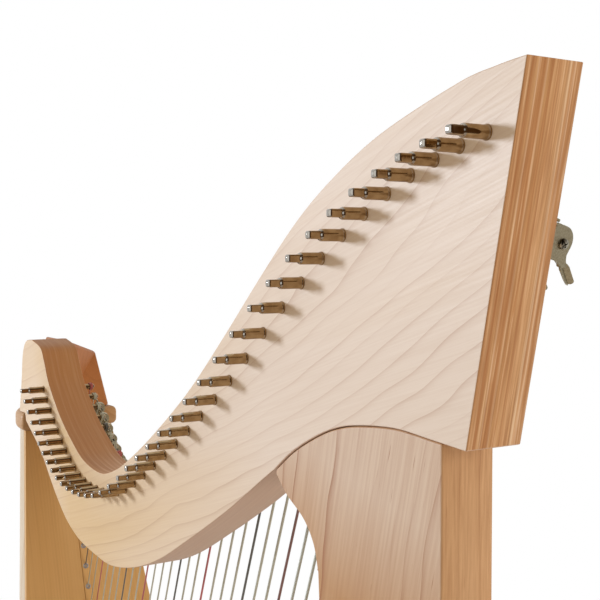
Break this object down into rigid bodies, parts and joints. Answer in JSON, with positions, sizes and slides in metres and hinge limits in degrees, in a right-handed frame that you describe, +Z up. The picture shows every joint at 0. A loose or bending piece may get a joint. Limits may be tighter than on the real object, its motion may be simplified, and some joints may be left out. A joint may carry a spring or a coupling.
{
  "type": "lever harp",
  "caption": "Free-standing lever harp: S-curved neck with tuning pins, straight pillar, tapered soundbox with round sound holes, strings and turning sharping levers.",
  "frame": {"origin": "on the floor, under the middle of the overall box", "axes": "+Z up, -Y the pillar, +Y the player's side, X = 0 the plane of the strings, with the tuning pins towards -X and the sharping levers towards +X"},
  "size_m": [0.338, 0.8308, 1.345],
  "materials": {
    "maple": "satin lacquer",
    "neck_ply": "satin lacquer over ply edge",
    "soundboard_wood": "satin lacquer",
    "inner_timber": "bare",
    "pin_nickel": "polished nickel plate",
    "lever_nickel": "dull nickel plate",
    "string_nylon": "smooth",
    "rubber": "matt",
    "bolt_steel": "zinc plate"
  },
  "bodies": {
    "harp": {"base_board": "maple", "brace_lower": "inner_timber", "brace_upper": "inner_timber", "foot_front_left": "rubber", "foot_front_right": "rubber", "foot_rear_left": "rubber", "foot_rear_right": "rubber", "head_block": "maple", "neck_core": "neck_ply", "neck_dowel": "inner_timber", "neck_face_pin_side": "maple", "neck_face_string_side": "maple", "pillar": "maple", "pillar_bolt": "bolt_steel", "soundboard_left": "soundboard_wood", "soundboard_right": "soundboard_wood", "soundbox_cap": "maple", "soundbox_shell": "maple", "strings": "string_nylon", "tuning_pins": "pin_nickel"},
    "lever_01_body": {"lever_01": "lever_nickel"},
    "lever_02_body": {"lever_02": "lever_nickel"},
    "lever_03_body": {"lever_03": "lever_nickel"},
    "lever_04_body": {"lever_04": "lever_nickel"},
    "lever_05_body": {"lever_05": "lever_nickel"},
    "lever_06_body": {"lever_06": "lever_nickel"},
    "lever_07_body": {"lever_07": "lever_nickel"},
    "lever_08_body": {"lever_08": "lever_nickel"},
    "lever_09_body": {"lever_09": "lever_nickel"},
    "lever_10_body": {"lever_10": "lever_nickel"},
    "lever_11_body": {"lever_11": "lever_nickel"},
    "lever_12_body": {"lever_12": "lever_nickel"},
    "lever_13_body": {"lever_13": "lever_nickel"},
    "lever_14_body": {"lever_14": "lever_nickel"},
    "lever_15_body": {"lever_15": "lever_nickel"},
    "lever_16_body": {"lever_16": "lever_nickel"},
    "lever_17_body": {"lever_17": "lever_nickel"},
    "lever_18_body": {"lever_18": "lever_nickel"},
    "lever_19_body": {"lever_19": "lever_nickel"},
    "lever_20_body": {"lever_20": "lever_nickel"},
    "lever_21_body": {"lever_21": "lever_nickel"},
    "lever_22_body": {"lever_22": "lever_nickel"},
    "lever_23_body": {"lever_23": "lever_nickel"},
    "lever_24_body": {"lever_24": "lever_nickel"},
    "lever_25_body": {"lever_25": "lever_nickel"},
    "lever_26_body": {"lever_26": "lever_nickel"},
    "lever_27_body": {"lever_27": "lever_nickel"},
    "lever_28_body": {"lever_28": "lever_nickel"},
    "lever_29_body": {"lever_29": "lever_nickel"},
    "lever_30_body": {"lever_30": "lever_nickel"},
    "lever_31_body": {"lever_31": "lever_nickel"},
    "lever_32_body": {"lever_32": "lever_nickel"},
    "lever_33_body": {"lever_33": "lever_nickel"},
    "lever_34_body": {"lever_34": "lever_nickel"},
    "lever_35_body": {"lever_35": "lever_nickel"},
    "lever_36_body": {"lever_36": "lever_nickel"},
    "lever_37_body": {"lever_37": "lever_nickel"},
    "lever_38_body": {"lever_38": "lever_nickel"}
  },
  "joints": [
    {"name": "lever_01_turn", "type": "hinge", "parent": "harp", "child": "lever_01_body", "pos_m": [0.01188, 0.27924, 1.08784], "axis": [0, -0.9361, -0.3518], "range_deg": [0, 65]},
    {"name": "lever_02_turn", "type": "hinge", "parent": "harp", "child": "lever_02_body", "pos_m": [0.01201, 0.26912, 1.07808], "axis": [0, -0.9361, -0.3518], "range_deg": [0, 65]},
    {"name": "lever_03_turn", "type": "hinge", "parent": "harp", "child": "lever_03_body", "pos_m": [0.01213, 0.25887, 1.06832], "axis": [0, -0.9361, -0.3518], "range_deg": [0, 65]},
    {"name": "lever_04_turn", "type": "hinge", "parent": "harp", "child": "lever_04_body", "pos_m": [0.01226, 0.24846, 1.0587], "axis": [0, -0.9361, -0.3518], "range_deg": [0, 65]},
    {"name": "lever_05_turn", "type": "hinge", "parent": "harp", "child": "lever_05_body", "pos_m": [0.01238, 0.23779, 1.04944], "axis": [0, -0.9361, -0.3518], "range_deg": [0, 65]},
    {"name": "lever_06_turn", "type": "hinge", "parent": "harp", "child": "lever_06_body", "pos_m": [0.0125, 0.22686, 1.04058], "axis": [0, -0.9361, -0.3518], "range_deg": [0, 65]},
    {"name": "lever_07_turn", "type": "hinge", "parent": "harp", "child": "lever_07_body", "pos_m": [0.01263, 0.2155, 1.03253], "axis": [0, -0.9361, -0.3518], "range_deg": [0, 65]},
    {"name": "lever_08_turn", "type": "hinge", "parent": "harp", "child": "lever_08_body", "pos_m": [0.01275, 0.20369, 1.02535], "axis": [0, -0.9361, -0.3518], "range_deg": [0, 65]},
    {"name": "lever_09_turn", "type": "hinge", "parent": "harp", "child": "lever_09_body", "pos_m": [0.01288, 0.19147, 1.01896], "axis": [0, -0.9361, -0.3518], "range_deg": [0, 65]},
    {"name": "lever_10_turn", "type": "hinge", "parent": "harp", "child": "lever_10_body", "pos_m": [0.013, 0.17869, 1.01374], "axis": [0, -0.9361, -0.3518], "range_deg": [0, 65]},
    {"name": "lever_11_turn", "type": "hinge", "parent": "harp", "child": "lever_11_body", "pos_m": [0.01313, 0.16519, 1.01014], "axis": [0, -0.9361, -0.3518], "range_deg": [0, 65]},
    {"name": "lever_12_turn", "type": "hinge", "parent": "harp", "child": "lever_12_body", "pos_m": [0.01325, 0.15101, 1.00803], "axis": [0, -0.9361, -0.3518], "range_deg": [0, 65]},
    {"name": "lever_13_turn", "type": "hinge", "parent": "harp", "child": "lever_13_body", "pos_m": [0.01338, 0.1363, 1.007], "axis": [0, -0.9361, -0.3518], "range_deg": [0, 65]},
    {"name": "lever_14_turn", "type": "hinge", "parent": "harp", "child": "lever_14_body", "pos_m": [0.0135, 0.12108, 1.00703], "axis": [0, -0.9361, -0.3518], "range_deg": [0, 65]},
    {"name": "lever_15_turn", "type": "hinge", "parent": "harp", "child": "lever_15_body", "pos_m": [0.01363, 0.10525, 1.00833], "axis": [0, -0.9361, -0.3518], "range_deg": [0, 65]},
    {"name": "lever_16_turn", "type": "hinge", "parent": "harp", "child": "lever_16_body", "pos_m": [0.01375, 0.08878, 1.01105], "axis": [0, -0.9361, -0.3518], "range_deg": [0, 65]},
    {"name": "lever_17_turn", "type": "hinge", "parent": "harp", "child": "lever_17_body", "pos_m": [0.01388, 0.07131, 1.01611], "axis": [0, -0.9361, -0.3518], "range_deg": [0, 65]},
    {"name": "lever_18_turn", "type": "hinge", "parent": "harp", "child": "lever_18_body", "pos_m": [0.014, 0.05269, 1.02392], "axis": [0, -0.9361, -0.3518], "range_deg": [0, 65]},
    {"name": "lever_19_turn", "type": "hinge", "parent": "harp", "child": "lever_19_body", "pos_m": [0.01413, 0.03327, 1.03352], "axis": [0, -0.9361, -0.3518], "range_deg": [0, 65]},
    {"name": "lever_20_turn", "type": "hinge", "parent": "harp", "child": "lever_20_body", "pos_m": [0.01425, 0.01415, 1.04417], "axis": [0, -0.9361, -0.3518], "range_deg": [0, 65]},
    {"name": "lever_21_turn", "type": "hinge", "parent": "harp", "child": "lever_21_body", "pos_m": [0.01438, -0.0059, 1.05485], "axis": [0, -0.9361, -0.3518], "range_deg": [0, 65]},
    {"name": "lever_22_turn", "type": "hinge", "parent": "harp", "child": "lever_22_body", "pos_m": [0.0145, -0.0263, 1.06612], "axis": [0, -0.9361, -0.3518], "range_deg": [0, 65]},
    {"name": "lever_23_turn", "type": "hinge", "parent": "harp", "child": "lever_23_body", "pos_m": [0.01463, -0.04715, 1.07829], "axis": [0, -0.9361, -0.3518], "range_deg": [0, 65]},
    {"name": "lever_24_turn", "type": "hinge", "parent": "harp", "child": "lever_24_body", "pos_m": [0.01475, -0.06846, 1.09134], "axis": [0, -0.9361, -0.3518], "range_deg": [0, 65]},
    {"name": "lever_25_turn", "type": "hinge", "parent": "harp", "child": "lever_25_body", "pos_m": [0.01488, -0.09018, 1.1052], "axis": [0, -0.9361, -0.3518], "range_deg": [0, 65]},
    {"name": "lever_26_turn", "type": "hinge", "parent": "harp", "child": "lever_26_body", "pos_m": [0.015, -0.11241, 1.12009], "axis": [0, -0.9361, -0.3518], "range_deg": [0, 65]},
    {"name": "lever_27_turn", "type": "hinge", "parent": "harp", "child": "lever_27_body", "pos_m": [0.01513, -0.13541, 1.1367], "axis": [0, -0.9361, -0.3518], "range_deg": [0, 65]},
    {"name": "lever_28_turn", "type": "hinge", "parent": "harp", "child": "lever_28_body", "pos_m": [0.01525, -0.15895, 1.15445], "axis": [0, -0.9361, -0.3518], "range_deg": [0, 65]},
    {"name": "lever_29_turn", "type": "hinge", "parent": "harp", "child": "lever_29_body", "pos_m": [0.01538, -0.1823, 1.17137], "axis": [0, -0.9361, -0.3518], "range_deg": [0, 65]},
    {"name": "lever_30_turn", "type": "hinge", "parent": "harp", "child": "lever_30_body", "pos_m": [0.0155, -0.2052, 1.18677], "axis": [0, -0.9361, -0.3518], "range_deg": [0, 65]},
    {"name": "lever_31_turn", "type": "hinge", "parent": "harp", "child": "lever_31_body", "pos_m": [0.01563, -0.22782, 1.20112], "axis": [0, -0.9361, -0.3518], "range_deg": [0, 65]},
    {"name": "lever_32_turn", "type": "hinge", "parent": "harp", "child": "lever_32_body", "pos_m": [0.01575, -0.24994, 1.21383], "axis": [0, -0.9361, -0.3518], "range_deg": [0, 65]},
    {"name": "lever_33_turn", "type": "hinge", "parent": "harp", "child": "lever_33_body", "pos_m": [0.01588, -0.27151, 1.22477], "axis": [0, -0.9361, -0.3518], "range_deg": [0, 65]},
    {"name": "lever_34_turn", "type": "hinge", "parent": "harp", "child": "lever_34_body", "pos_m": [0.016, -0.29265, 1.23424], "axis": [0, -0.9361, -0.3518], "range_deg": [0, 65]},
    {"name": "lever_35_turn", "type": "hinge", "parent": "harp", "child": "lever_35_body", "pos_m": [0.01613, -0.31333, 1.24216], "axis": [0, -0.9361, -0.3518], "range_deg": [0, 65]},
    {"name": "lever_36_turn", "type": "hinge", "parent": "harp", "child": "lever_36_body", "pos_m": [0.01625, -0.3334, 1.24815], "axis": [0, -0.9361, -0.3518], "range_deg": [0, 65]},
    {"name": "lever_37_turn", "type": "hinge", "parent": "harp", "child": "lever_37_body", "pos_m": [0.01638, -0.35307, 1.25277], "axis": [0, -0.9361, -0.3518], "range_deg": [0, 65]},
    {"name": "lever_38_turn", "type": "hinge", "parent": "harp", "child": "lever_38_body", "pos_m": [0.0165, -0.37268, 1.25692], "axis": [0, -0.9361, -0.3518], "range_deg": [0, 65]}
  ]
}
